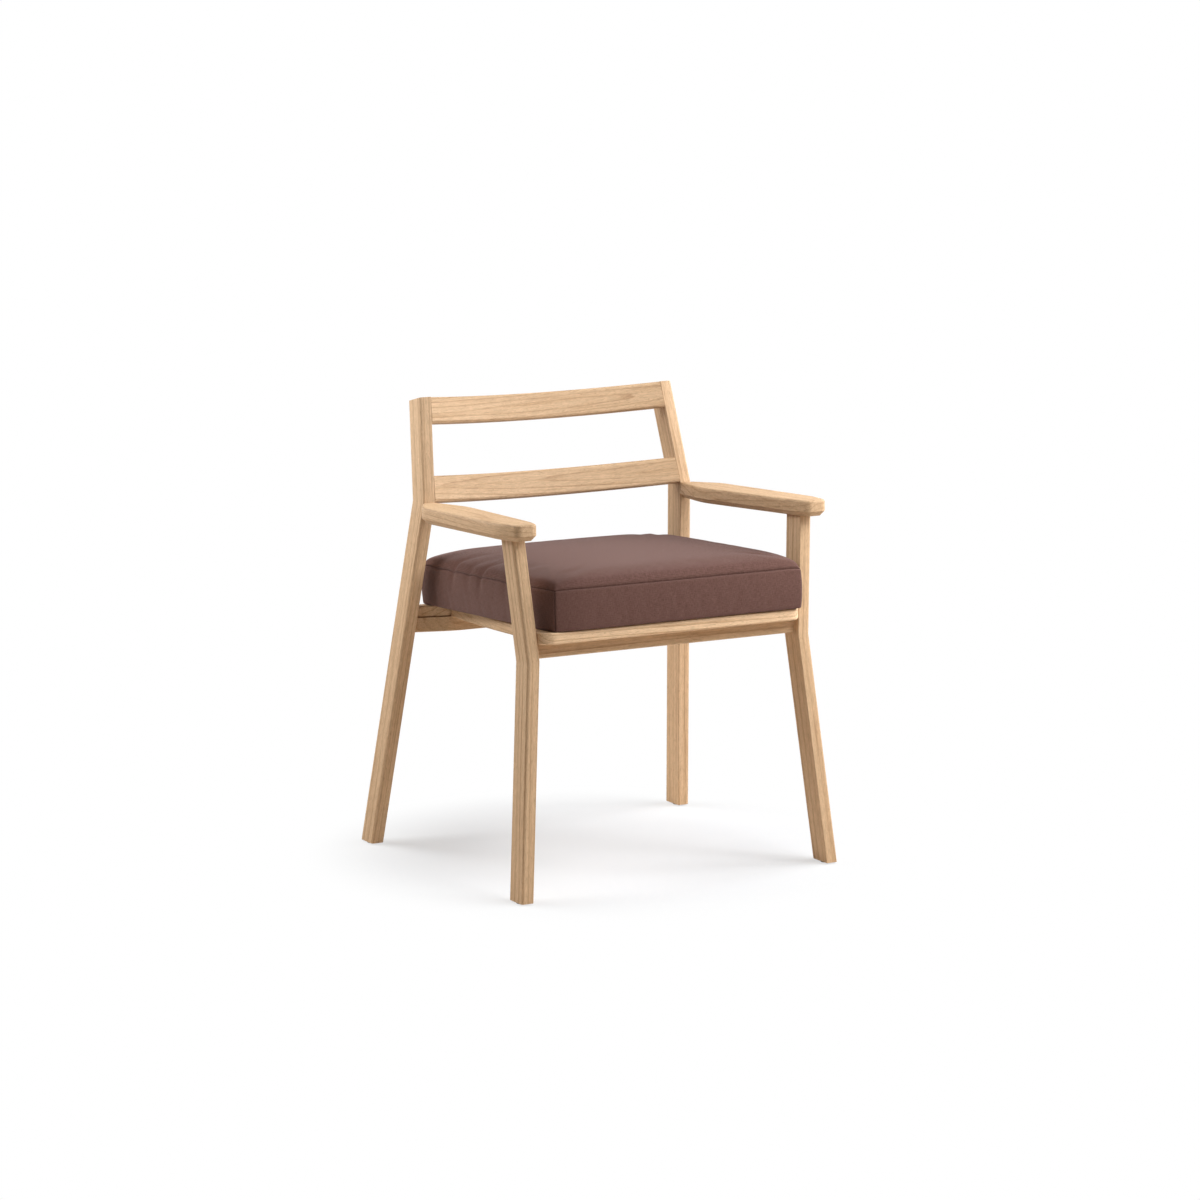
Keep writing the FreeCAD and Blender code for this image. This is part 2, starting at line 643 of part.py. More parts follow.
UNDER_APRON = -d.board_thick - d.apron_height
SCREW_ROWS = {
    "front_apron": front_apron_middle,
    "rear_apron": d.rear_apron_y + d.rear_apron_thick / 2,
}
screws = []
screw_holes = {}
for apron, middle in SCREW_ROWS.items():
    places = [moved(SEAT, x, middle, UNDER_APRON) for x in (-d.screw_spread, 0, d.screw_spread)]
    screws += [screw(f"{apron}_screw_{i}", place) for i, place in enumerate(places)]
    screw_holes[apron] = [screw_hole(f"{apron}_hole_{i}", place) for i, place in enumerate(places)]
screw_group = doc.addObject("Part::Compound", "screw_group")
screw_group.Links = screws
finish_one("seat_screws", screw_group)

for apron, (blank, span) in (("front_apron", front_apron()), ("rear_apron", rear_apron())):
    tenon = apron_joints[apron][0]
    trimmed = common(f"{apron}_trimmed", [blank, span])
    whole = fuse(f"{apron}_fused", [trimmed, tenon, mirrored(f"{apron}_tenon_left", tenon)])
    finish_one(apron, cut(f"{apron}_cut", whole, screw_holes[apron]))

# Joints of the seat frame: the side boards' tenons go into the front and rear boards
FRONT_JOINT = d.front_board_depth - d.front_board_y
SIDE_MIDDLES = {
    "front": (d.side_board_front - d.side_board_width / 2, FRONT_JOINT - (d.tenon_reach - d.tenon_root) / 2),
    "rear": (d.side_board_rear - d.side_board_width / 2, d.rear_board_y + (d.tenon_reach - d.tenon_root) / 2),
}
side_joints = {
    end: tenon_pair(
        f"side_board_{end}",
        moved(SEAT, x, y, -d.board_thick / 2),
        "dims.side_board_width * 0.6", "(dims.tenon_reach + dims.tenon_root)", "dims.tenon_thick * 0.7")
    for end, (x, y) in SIDE_MIDDLES.items()
}


def side_board():
    """A right side board of the seat frame: its section turned in a wide arc, closer in at the rear."""
    front = Vector(d.side_board_front, FRONT_JOINT, 0)
    rear = Vector(d.side_board_rear, d.rear_board_y, 0)
    chord = rear - front
    radius = (chord.Length ** 2 / 4 + d.side_board_bow ** 2) / (2 * d.side_board_bow)
    outward = Vector(chord.y, -chord.x, 0).normalize()
    centre = (front + rear) * 0.5 + outward * (d.side_board_bow - radius)
    facing = Rotation(Vector(0, 1, 0), outward)
    middle = Vector(centre.x, centre.y, -d.board_thick / 2)
    body = new_body("side_board_blank", SEAT.multiply(Placement(middle, facing)))
    section = new_sketch(body, "side_board_section", "YZ_Plane",
                         Placement(Vector(radius - d.side_board_width / 2, 0, 0), LEVEL))
    rounded_rectangle(section, "dims.side_board_width", "dims.board_thick", "dims.board_edge")
    turned = body.newObject("PartDesign::Revolution", "side_board_turned")
    turned.Profile = section
    turned.ReferenceAxis = (origin_feature(body, "Z_Axis"), [""])
    turned.Angle = 2 * math.degrees(math.asin((chord.Length / 2 + d.side_board_width) / radius))
    turned.Midplane = True
    doc.recompute()
    span = block("side_board_span", moved(SEAT, 0, (FRONT_JOINT + d.rear_board_y) / 2, 0), f"{FAR}",
                 f"{d.rear_board_y - FRONT_JOINT} - 2 * dims.joint_gap", "4 * dims.board_thick")
    trimmed = common("side_board_trimmed", [body, span])
    return fuse("side_board_fused", [trimmed] + [pair[0] for pair in side_joints.values()])


finish_pair("seat_side_board", side_board())


def slat_groove(name, y):
    """The groove that takes the tongues of all the slats, in one edge of a board."""
    reach = "(dims.tongue_length + 1)"
    length = "dims.slat_pitch * (dims.slat_count - 1) + dims.slat_width + 2"
    up = d.tongue_thick / 2 - d.slat_thick
    return block(name, moved(SEAT, 0, y, up), length, f"2 * {reach}", "dims.tongue_thick", 1)


def front_board():
    """The front board of the seat frame, which stands out in front of the legs with rounded corners."""
    body = new_body("front_board_blank", SEAT)
    outline = new_sketch(body, "front_board_outline", "XY_Plane")
    back = "(dims.front_board_depth - dims.front_board_y)"
    polygon(outline, (
        ("-dims.front_board_half", "-dims.front_board_y"), ("dims.front_board_half", "-dims.front_board_y"),
        ("dims.front_board_half", back), ("-dims.front_board_half", back)))
    last = pad(body, outline, "dims.board_thick", reverse=True)
    corners = [(side * d.front_board_half, -d.front_board_y) for side in (-1, 1)]
    last = dress(body, "Fillet", last, "dims.front_board_round", upright_near(*corners))
    last = dress(body, "Chamfer", last, "dims.board_edge", at_height(-d.board_thick))
    dress(body, "Fillet", last, "dims.board_edge", at_height(0))
    return body


def rear_board():
    """The rear board of the seat frame, between the rear legs, with its front corners swept back."""
    body = new_body("rear_board_blank", SEAT)
    outline = new_sketch(body, "rear_board_outline", "XY_Plane")
    corners = swept_outline("dims.rear_board_y", "dims.rear_board_depth")
    back = "(dims.rear_board_y + dims.rear_board_depth)"
    right, left = corners[:2], corners[6:]
    polygon(outline, right + [(right[1][0], back), (left[0][0], back)] + left)
    last = pad(body, outline, "dims.board_thick", reverse=True)
    bends = [(side * d.sweep_start, d.rear_board_y) for side in (-1, 1)]
    last = dress(body, "Fillet", last, "dims.sweep_round", upright_near(*bends))
    last = dress(body, "Chamfer", last, "dims.board_edge", at_height(-d.board_thick))
    dress(body, "Fillet", last, "dims.board_edge", at_height(0))
    return common("rear_board_trimmed", [body, rear_span])


for end, board, apron, edge_y in (("front", front_board(), "front_apron", FRONT_JOINT),
                                  ("rear", rear_board(), "rear_apron", d.rear_board_y)):
    mortise = side_joints[end][1]
    other = mirrored(f"seat_{end}_mortise_left", mortise)
    tools = [mortise, other, slat_groove(f"seat_{end}_groove", edge_y)]
    finish_one(f"seat_{end}_board", cut(f"seat_{end}_board_cut", board, tools + screw_holes[apron]))


def slat(name, x):
    """A seat slat that runs front to back, with a tongue at each end in the boards' grooves."""
    body = new_body(name, moved(SEAT, x, 0, 0))
    profile = new_sketch(body, f"{name}_profile", "YZ_Plane")
    front = "(dims.front_board_depth - dims.front_board_y + dims.joint_gap)"
    rear = "(dims.rear_board_y - dims.joint_gap)"
    shoulder = "(dims.tongue_thick - dims.slat_thick)"
    polygon(profile, (
        (front, "0"),
        (front, shoulder),
        (f"{front} - dims.tongue_length", shoulder),
        (f"{front} - dims.tongue_length", "-dims.slat_thick"),
        (f"{rear} + dims.tongue_length", "-dims.slat_thick"),
        (f"{rear} + dims.tongue_length", shoulder),
        (rear, shoulder),
        (rear, "0"),
    ))
    last = pad(body, profile, "dims.slat_width", both_ways=True)
    level = at_height(0)
    dress(body, "Fillet", last, "dims.slat_edge", lambda edge: level(edge) and edge.Length > d.slat_width * 2)
    return body


for i in range(int(d.slat_count)):
    place = (i - (d.slat_count - 1) / 2) * d.slat_pitch
    finish_one(f"seat_slat_{i + 1}", slat(f"slat_{i + 1}_body", place))


def cushion_form(name, inset):
    """The stuffed box of the cushion, drawn in by an inset all round: a rounded plan with a domed top."""
    middle_y = (d.cushion_rear - d.cushion_front) / 2
    base = moved(SEAT, 0, middle_y, d.cushion_lift + inset)
    body = new_body(f"{name}_box", base)
    outline = new_sketch(body, f"{name}_outline", "XY_Plane")
    rounded_rectangle(
        outline,
        f"(dims.cushion_width - 2 * {inset})",
        f"(dims.cushion_front + dims.cushion_rear - 2 * {inset})",
        f"dims.cushion_corner - {inset}")
    last = pad(body, outline, f"dims.cushion_height - 2 * {inset}")
    dress(body, "Fillet", last, f"dims.cushion_foot_round - {inset}", at_height(0))
    dome = doc.addObject("Part::Sphere", f"{name}_dome")
    dome.setExpression(
        "Radius", "((dims.cushion_width / 2) ^ 2 + dims.cushion_crown ^ 2) / (2 * dims.cushion_crown)")
    doc.recompute()
    centre = Vector(0, 0, d.cushion_height - 2 * inset - dome.Radius.Value)
    dome.Placement = base.multiply(Placement(centre, Rotation(Vector(0, 1, 0), 90)))
    crowned = common(f"{name}_crowned", [body, dome])
    doc.recompute()
    rim = [i for i, edge in enumerate(crowned.Shape.Edges, start=1) if on_cushion_rim(edge, base)]
    soft = doc.addObject("Part::Fillet", f"{name}_soft")
    soft.Base = crowned
    soft.Edges = [(i, d.cushion_top_round - inset, d.cushion_top_round - inset) for i in rim]
    doc.recompute()
    return soft


def on_cushion_rim(edge, base):
    """Whether an edge runs round the top of the cushion's upright sides."""
    heights = [base.inverse().multVec(point).z for point in edge.discretize(5)]
    return min(heights) > d.cushion_height / 2


outer = cushion_form("cover_outer", 0)
hollow = cushion_form("cover_hollow", d.cover_thick)
finish_one("cushion_cover", cut("cover_cut", outer, [hollow]))
finish_one("cushion_foam", cushion_form("foam", d.cover_thick + d.foam_gap))

doc.recompute()
for item in doc.Objects:
    if "Invalid" in item.State or "Error" in item.State:
        raise RuntimeError(f"{item.Label} did not build: {item.State}")
for piece in finished:
    if piece.Shape.isNull() or not piece.Shape.isValid():
        raise RuntimeError(f"{piece.Label} has no valid shape")

os.makedirs("parts", exist_ok=True)
for piece in finished:
    piece.Shape.exportStep(f"parts/{piece.Label}.step")
    print(piece.Label, len(piece.Shape.Solids), "solids", round(piece.Shape.Volume / 1000, 1), "cm3")
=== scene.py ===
"""The looks of a dining armchair in solid teak with a loose box cushion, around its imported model.

Everything is in metres in the model's own frame: the chair stands on z = 0 and faces -Y.
"""
import math

import bpy
from mathutils import Matrix, Vector


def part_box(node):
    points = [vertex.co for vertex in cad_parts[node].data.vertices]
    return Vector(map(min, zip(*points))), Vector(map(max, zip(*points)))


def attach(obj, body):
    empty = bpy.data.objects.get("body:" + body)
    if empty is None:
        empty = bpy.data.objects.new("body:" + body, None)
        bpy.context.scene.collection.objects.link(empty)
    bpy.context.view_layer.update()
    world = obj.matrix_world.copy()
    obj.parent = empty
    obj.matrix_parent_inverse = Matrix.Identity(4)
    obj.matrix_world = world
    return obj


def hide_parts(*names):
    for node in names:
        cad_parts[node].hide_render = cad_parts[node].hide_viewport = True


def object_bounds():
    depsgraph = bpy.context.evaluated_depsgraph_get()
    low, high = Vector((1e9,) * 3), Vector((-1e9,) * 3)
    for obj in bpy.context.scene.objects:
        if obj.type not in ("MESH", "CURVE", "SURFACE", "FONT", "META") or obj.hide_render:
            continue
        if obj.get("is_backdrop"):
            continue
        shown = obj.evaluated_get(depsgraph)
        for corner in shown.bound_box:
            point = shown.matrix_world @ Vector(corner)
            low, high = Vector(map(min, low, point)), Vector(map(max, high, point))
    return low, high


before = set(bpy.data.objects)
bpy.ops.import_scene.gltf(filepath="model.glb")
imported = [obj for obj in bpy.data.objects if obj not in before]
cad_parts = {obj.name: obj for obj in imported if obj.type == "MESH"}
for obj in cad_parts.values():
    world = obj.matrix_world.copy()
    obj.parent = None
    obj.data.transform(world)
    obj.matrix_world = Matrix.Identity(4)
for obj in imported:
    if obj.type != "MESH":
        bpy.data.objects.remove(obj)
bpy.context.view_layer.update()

# Front legs
# Solid teak, sawn to a bend at the knee and planed to a flat section, rounded along its outer edges.
# The grain turns with the leg, and a tenon at the top holds the arm.
FRONT_FOOT = Vector((0.2835, -0.247, 0))
FRONT_KNEE = Vector((0.2495, -0.2075, 0.3755))
FRONT_TOP = Vector((0.2641, -0.1877, 0.565))
TEAK_PALE = (0.66, 0.46, 0.285, 1)
TEAK_WARM = (0.58, 0.378, 0.215, 1)
TEAK_LATE = (0.4, 0.23, 0.118, 1)
TEAK_PORE = (0.30, 0.16, 0.078, 1)
TEAK_BANDS = ((0.26, (0.84, 0.78, 0.72, 1)), (0.45, (1.0, 0.99, 0.98, 1)), (0.72, (1.07, 1.08, 1.09, 1)))
TEAK_SHINE = 0.14
TEAK_DULL = 0.66
TEAK_SMOOTH = 0.54
STREAK_DARK = 0.78
STREAK_PALE = 1.16
GRAIN_DRAWN_OUT = 32
FIBRE_SHORTER = 3.2
RING_SCALE = 40
RING_WANDER = 6.5
FIGURE_SCALE = 34
BAND_SCALE = 170
FIBRE_SCALE = 640
PORE_SCALE = 1300
GRAIN_RELIEF = 0.0003
SIDES = {"right": 1, "left": -1}
FRONT_LEG_TONE = 0.5
# Where the tree's middle runs beside a piece: how far off on two sides, and two slight turns from its length.
FRONT_LEG_HEARTS = {"right": (0.05, 0.062, 0.010, 0.012), "left": (0.064, -0.05, -0.012, 0.009)}


def set_input(material, socket, value):
    """Sets a socket to a constant, or links it to another node's output."""
    if isinstance(value, bpy.types.NodeSocket):
        material.node_tree.links.new(value, socket)
    else:
        socket.default_value = value


def node(material, kind, settings, inputs):
    """Adds a node with its settings and inputs, and returns it."""
    made = material.node_tree.nodes.new(kind)
    for name, value in settings.items():
        setattr(made, name, value)
    for name, value in inputs.items():
        set_input(material, made.inputs[name], value)
    return made


def sums(material, operation, first, second=0.0):
    """One step of arithmetic."""
    return node(material, "ShaderNodeMath", {"operation": operation}, {0: first, 1: second}).outputs[0]


def mixed(material, factor, first, second, blend="MIX"):
    """A blend of two colours."""
    settings = {"data_type": "RGBA", "blend_type": blend}
    return node(material, "ShaderNodeMix", settings, {0: factor, 6: first, 7: second}).outputs[2]


def ramp(material, factor, stops):
    """Turns a value into a colour or a strength along some stops."""
    made = node(material, "ShaderNodeValToRGB", {}, {"Fac": factor})
    for i, (place, shade) in enumerate(stops):
        stop = made.color_ramp.elements[i] if i < 2 else made.color_ramp.elements.new(place)
        stop.position = place
        stop.color = shade if isinstance(shade, tuple) else (shade, shade, shade, 1)
    return made.outputs["Color"]


def noise(material, vector, scale, detail=2.0, roughness=0.5):
    """A soft random value."""
    inputs = {"Vector": vector, "Scale": scale, "Detail": detail, "Roughness": roughness}
    return node(material, "ShaderNodeTexNoise", {}, inputs).outputs["Fac"]


def new_material(name):
    """An empty material with its principled shader."""
    material = bpy.data.materials.new(name)
    material.use_nodes = True
    return material, material.node_tree.nodes["Principled BSDF"]


def along_grain(material, position, start, end, heart):
    """Places along and across a length of wood, drawn out along it; heart is where the tree's middle runs."""
    lengthways = (end - start).normalized()
    upright = Vector((0, 0, 1)) if abs(lengthways.z) < 0.7 else Vector((0, 1, 0))
    across = upright.cross(lengthways).normalized()
    turn = Matrix((lengthways, across, lengthways.cross(across))).transposed()
    tilt = Matrix.Rotation(heart[2], 3, "Z") @ Matrix.Rotation(heart[3], 3, "Y")
    middle = start + turn @ Vector((0, heart[0], heart[1]))
    return node(material, "ShaderNodeMapping", {"vector_type": "TEXTURE"}, {
        "Vector": position,
        "Location": middle,
        "Rotation": (turn @ tilt).to_euler(),
        "Scale": (GRAIN_DRAWN_OUT, 1, 1),
    }).outputs[0]


def bent_back(material, position, bend):
    """Places in a bent piece as if it were straight; bend gives how far to move a point, and which way."""
    amount, direction = bend
    settings = {"operation": "MULTIPLY_ADD"}
    inputs = {0: amount(material, position), 1: direction, 2: position}
    return node(material, "ShaderNodeVectorMath", settings, inputs).outputs["Vector"]


def teak(name, start, end, heart, tone=0.5, bend=None):
    """Oiled teak: rings about the tree's middle, fibres and pores along the grain; a high tone is pale."""
    material, shader = new_material(name)
    position = node(material, "ShaderNodeTexCoord", {}, {}).outputs["Object"]
    if bend is not None:
        position = bent_back(material, position, bend)
    grain = along_grain(material, position, start, end, heart)
    rings = node(
        material, "ShaderNodeTexWave",
        {"wave_type": "RINGS", "rings_direction": "X", "wave_profile": "SAW"},
        {"Vector": grain, "Scale": RING_SCALE, "Distortion": RING_WANDER, "Detail": 4.0, "Detail Scale": 0.7,
         "Detail Roughness": 0.62}).outputs["Fac"]
    figure = noise(material, grain, FIGURE_SCALE, 3)
    bands = noise(material, grain, BAND_SCALE, 3, 0.6)
    shorter = {0: grain, 1: (FIBRE_SHORTER, 1, 1)}
    short = node(material, "ShaderNodeVectorMath", {"operation": "MULTIPLY"}, shorter).outputs[0]
    fibre = noise(material, short, FIBRE_SCALE, 4, 0.7)
    pores = noise(material, short, PORE_SCALE, 1)
    late = ramp(material, rings, ((0.0, 0.0), (0.7, 0.05), (0.96, 0.9), (1.0, 0.0)))
    late = sums(material, "MULTIPLY", late, ramp(material, figure, ((0.32, 0.35), (0.68, 1.0))))
    drift = sums(material, "ADD", sums(material, "MULTIPLY", figure, 0.8), tone - 0.4)
    colour = mixed(material, drift, TEAK_WARM, TEAK_PALE)
    colour = mixed(material, late, colour, TEAK_LATE)
    colour = mixed(material, 1.0, colour, ramp(material, bands, TEAK_BANDS), "MULTIPLY")
    bright = 0.8 + 0.4 * tone
    streak = ramp(material, fibre, ((0.28, STREAK_DARK * bright), (0.72, STREAK_PALE * bright)))
    colour = mixed(material, 1.0, colour, streak, "MULTIPLY")
    pore = ramp(material, pores, ((0.62, 0.0), (0.72, 0.5)))
    colour = mixed(material, pore, colour, TEAK_PORE)
    set_input(material, shader.inputs["Base Color"], colour)
    rough = ramp(material, fibre, ((0.3, TEAK_DULL), (0.7, TEAK_SMOOTH)))
    set_input(material, shader.inputs["Roughness"], rough)
    relief = sums(material, "SUBTRACT", fibre, pore)
    raised = {"Height": relief, "Strength": 0.35, "Distance": GRAIN_RELIEF}
    bump = node(material, "ShaderNodeBump", {}, raised)
    set_input(material, shader.inputs["Normal"], bump.outputs["Normal"])
    shader.inputs["Specular IOR Level"].default_value = TEAK_SHINE
    return material


def dress(piece, material):
    """Gives a model node its finish."""
    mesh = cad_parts[piece].data
    mesh.materials.clear()
    mesh.materials.append(material)


def on_side(point, side):
    """A point of the right half, or its place in the left half."""
    return Vector((point.x * side, point.y, point.z))


def above(height):
    """How far a point lies above the bend of a leg."""
    def amount(material, position):
        z = node(material, "ShaderNodeSeparateXYZ", {}, {"Vector": position}).outputs["Z"]
        return sums(material, "MAXIMUM", sums(material, "SUBTRACT", z, height), 0.0)
    return amount


def straightening(foot, knee, top):
    """How a leg's upper length moves, for each metre above the bend, to line up with its lower one."""
    lower, upper = knee - foot, top - knee
    return lower / lower.z - upper / upper.z


for label, side in SIDES.items():
    foot, knee, top = (on_side(point, side) for point in (FRONT_FOOT, FRONT_KNEE, FRONT_TOP))
    bend = above(knee.z), straightening(foot, knee, top)
    finish = teak(f"teak_front_leg_{label}", foot, knee, FRONT_LEG_HEARTS[label], FRONT_LEG_TONE, bend)
    dress(f"front_leg_{label}", finish)

# Rear legs
# Solid teak of the same section, from the floor to the top of the back, sawn to a bend behind the arm.
# Mortises take the back rails, the arm and the rear apron.
REAR_FOOT = Vector((0.2968, 0.247, 0))
REAR_ELBOW = Vector((0.243, 0.1543, 0.582))
REAR_TOP = Vector((0.2275, 0.1959, 0.75))
REAR_LEG_TONE = 0.55
REAR_LEG_HEARTS = {"right": (-0.058, 0.05, 0.008, -0.012), "left": (0.07, 0.04, 0.012, 0.008)}
for label, side in SIDES.items():
    foot, elbow, top = (on_side(point, side) for point in (REAR_FOOT, REAR_ELBOW, REAR_TOP))
    bend = above(elbow.z), straightening(foot, elbow, top)
    finish = teak(f"teak_rear_leg_{label}", foot, elbow, REAR_LEG_HEARTS[label], REAR_LEG_TONE, bend)
    dress(f"rear_leg_{label}", finish)

# Back rails
# Solid teak, sawn to a bow and rounded along the edges, tenoned into the rear legs.
# Their faces are cut across the rings, so arches of grain show.
RAIL_BOW = 0.0435
RAIL_HALF = 0.225
RECLINE = math.radians(13.9)
RAIL_TONE = 0.6
RAIL_HEARTS = {"lower_back_rail": (-0.045, 0.012, 0.03, 0.02), "top_back_rail": (-0.036, -0.01, 0.045, -0.02)}


def from_middle(material, position):
    """The square of a point's share of the way from the middle of a rail to its end."""
    x = node(material, "ShaderNodeSeparateXYZ", {}, {"Vector": position}).outputs["X"]
    share = sums(material, "DIVIDE", x, RAIL_HALF)
    return sums(material, "MULTIPLY", share, share)


bowed = from_middle, Vector((0, math.cos(RECLINE), -math.sin(RECLINE))) * RAIL_BOW
for label, heart in RAIL_HEARTS.items():
    low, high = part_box(label)
    back = Vector((0, high.y, (low.z + high.z) / 2))
    ends = back + Vector((low.x, 0, 0)), back + Vector((high.x, 0, 0))
    dress(label, teak(f"teak_{label}", *ends, heart, RAIL_TONE, bowed))

# Armrests
# Solid teak boards with a shaped outline, soft above and chamfered below.
# The front leg's tenon comes up into each, and its own tenon goes back into the rear leg.
ARM_TONE = 0.42
ARM_HEARTS = {"armrest_left": (0.02, -0.06, 0.016, 0.01), "armrest_right": (-0.03, -0.055, -0.014, 0.012)}


def ends_along(label, axis):
    """The middles of a straight piece's two ends; axis 0 runs across the chair, axis 1 front to back."""
    low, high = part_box(label)
    ends = [(low + high) / 2, (low + high) / 2]
    ends[0][axis] = low[axis]
    ends[1][axis] = high[axis]
    return ends


for label, heart in ARM_HEARTS.items():
    dress(label, teak(f"teak_{label}", *ends_along(label, 1), heart, ARM_TONE))

# Aprons
# Teak rails under the seat between each pair of legs, tenoned into them and screwed up into the seat frame.
# The rear one is sawn so that its ends sweep back.
APRON_TONE = 0.45
APRON_HEARTS = {"front_apron": (0.04, 0.03, 0.012, 0.01), "rear_apron": (-0.05, 0.02, 0.01, 0.012)}
for label, heart in APRON_HEARTS.items():
    dress(label, teak(f"teak_{label}", *ends_along(label, 0), heart, APRON_TONE))

# Seat screws
# Zinc-plated steel screws with countersunk heads.
# They go up through the aprons into the seat boards.
ZINC_DULL = (0.52, 0.52, 0.5, 1)
ZINC_BRIGHT = (0.68, 0.68, 0.69, 1)
WEAR_SCALE = 900
material, shader = new_material("zinc_steel")
position = node(material, "ShaderNodeTexCoord", {}, {}).outputs["Object"]
wear = noise(material, position, WEAR_SCALE, 3)
set_input(material, shader.inputs["Base Color"], mixed(material, wear, ZINC_DULL, ZINC_BRIGHT))
set_input(material, shader.inputs["Roughness"], ramp(material, wear, ((0.3, 0.42), (0.7, 0.26))))
shader.inputs["Metallic"].default_value = 1.0
dress("seat_screws", material)

# Glides
# Turned plastic pads under the feet, rubbed dull where they slide.
# Each is pressed into a hole in its leg by a pin.
NYLON_DARK = (0.03, 0.027, 0.025, 1)
NYLON_RUBBED = (0.06, 0.054, 0.05, 1)
RUB_SCALE = 350
material, shader = new_material("glide_nylon")
position = node(material, "ShaderNodeTexCoord", {}, {}).outputs["Object"]
rubbed = noise(material, position, RUB_SCALE, 3)
set_input(material, shader.inputs["Base Color"], mixed(material, rubbed, NYLON_DARK, NYLON_RUBBED))
set_input(material, shader.inputs["Roughness"], ramp(material, rubbed, ((0.3, 0.42), (0.7, 0.62))))
for label in ("front_glide_right", "front_glide_left", "rear_glide_right", "rear_glide_left"):
    dress(label, material)

# Seat frame
# Four teak boards joined at the corners: front and rear ones across, bowed side ones front to back.
# The front board stands out past the legs and has rounded corners.
BOARD_TONE = 0.5
FRONT_BOARD_TONE = 0.95
BOARD_HEARTS = {
    "seat_front_board": (-0.05, 0.03, 0.016, 0.01),
    "seat_rear_board": (0.04, 0.04, 0.01, -0.012),
    "seat_side_board_left": (0.045, 0.03, 0.01, 0.012),
    "seat_side_board_right": (-0.045, 0.035, -0.012, 0.01),
}
for label, heart in BOARD_HEARTS.items():
    ends = ends_along(label, 1 if "side" in label else 0)
    tone = FRONT_BOARD_TONE if label == "seat_front_board" else BOARD_TONE
    dress(label, teak(f"teak_{label}", *ends, heart, tone))

# Seat slats
# Narrow teak slats under the cushion, cut from different boards.
# Their tongues sit in the grooves of the front and rear boards.
SLATS = [label for label in sorted(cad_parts) if label.startswith("seat_slat")]
SLAT_TONES = (0.4, 0.45, 0.5)
SLAT_HEART_OFF = 0.05
SLAT_HEART_TURN = 2.4
for i, label in enumerate(SLATS):
    off = SLAT_HEART_OFF * math.cos(SLAT_HEART_TURN * i), SLAT_HEART_OFF * math.sin(SLAT_HEART_TURN * i)
    heart = (*off, 0.01, 0.012)
    dress(label, teak(f"teak_{label}", *ends_along(label, 1), heart, SLAT_TONES[i % 3]))

# Cushion
# A foam box in a sewn cover of brown woven fabric: a top and a bottom panel with a boxing band between them.
# It lies loose on the seat, so it is built on the seat's slope and only its own weight holds it.
SEAT_MIDDLE = Vector((0.0046, 0, 0.4131))
SEAT_SLOPE = math.radians(2.6)
COVER_HALF = 0.2287
COVER_FRONT = -0.2476
COVER_REAR = 0.197
SEAM_HEIGHT = 0.0645
CELL = 0.005
# A point nearer an edge than this lies on it.
ON_EDGE = 1e-6
# The top's rise to its crown, how full it stays near its two sides, and its shares of box and dome.
RISE = 0.0298
LEFT_FULL = (12, 0.39)
RIGHT_FULL = (14, 0.36)
BOX_SHARE = 0.8
DOME_SHARE = 0.22
# How far the sides swell across and along, how far the band bulges, and how far the near corner is drawn in.
SWELL = (0.0055, 0.003)
BULGE = 0.0018
TUCK = 0.006
TUCK_REACH = 0.07
# The left side's folds, each with its place along the side, its strength and its width.
FOLDS = ((0.13, 0.35, 1.5), (0.081, 1.0, 0.9), (0.026, 0.6, 1.3), (-0.015, 1.0, 0.8), (-0.1, 0.6, 1.4))
FOLD_DEEP = 0.0046
FOLD_HALF = 0.0068
# How a fold runs in over the top and down the band: aslant, wider as it goes, and gone at a distance.
FOLD_SLANT = 0.42
FOLD_LEAN = 0.12
FOLD_WIDENS = (14, 18)
FOLD_INWARD = 0.07
FOLD_DOWN = 0.04
FOLD_PULL = 0.5
SEAM_HALF = 0.0005
SEAM_DEEP = 0.0014
CLOTH_CAP = 0.003
CLOTH_FRAMES = 20
ZIP_HALF = 0.19
THREAD = 0.0011
SLUB_SCALE = 950
SLUB_LONG = 7
COVER_DARK = (0.128, 0.064, 0.05, 1)
COVER_LIGHT = (0.19, 0.097, 0.079, 1)
COVER_DULL = 0.85
COVER_SHINE = 0.05
NAP = 0.17
NAP_SPREAD = 0.45
NAP_COLOUR = (0.98, 0.84, 0.8, 1)
WEAVE_RELIEF = 0.0005

# The top and bottom panels are cut as grids, and the band is bridged between their edges.
bpy.ops.object.select_all(action="DESELECT")
width, depth = 2 * COVER_HALF, COVER_REAR - COVER_FRONT
middle_y = (COVER_FRONT + COVER_REAR) / 2
bpy.ops.mesh.primitive_grid_add(
    x_subdivisions=round(width / CELL), y_subdivisions=round(depth / CELL), size=1, calc_uvs=False)
cushion = bpy.context.object
cushion.name = "cushion"
bpy.ops.object.mode_set(mode="EDIT")
bpy.ops.mesh.select_all(action="SELECT")
bpy.ops.transform.resize(value=(width, depth, 1))
bpy.ops.transform.translate(value=(0, middle_y, SEAM_HEIGHT))
bpy.ops.mesh.duplicate_move(TRANSFORM_OT_translate={"value": (0, 0, -SEAM_HEIGHT)})
bpy.ops.mesh.select_all(action="SELECT")
bpy.ops.mesh.region_to_loop()
bpy.ops.mesh.bridge_edge_loops(number_cuts=round(SEAM_HEIGHT / CELL) - 1)
bpy.ops.mesh.select_all(action="SELECT")
bpy.ops.mesh.normals_make_consistent(inside=False)
bpy.ops.uv.cube_project(cube_size=1.0, correct_aspect=False)
bpy.ops.object.mode_set(mode="OBJECT")


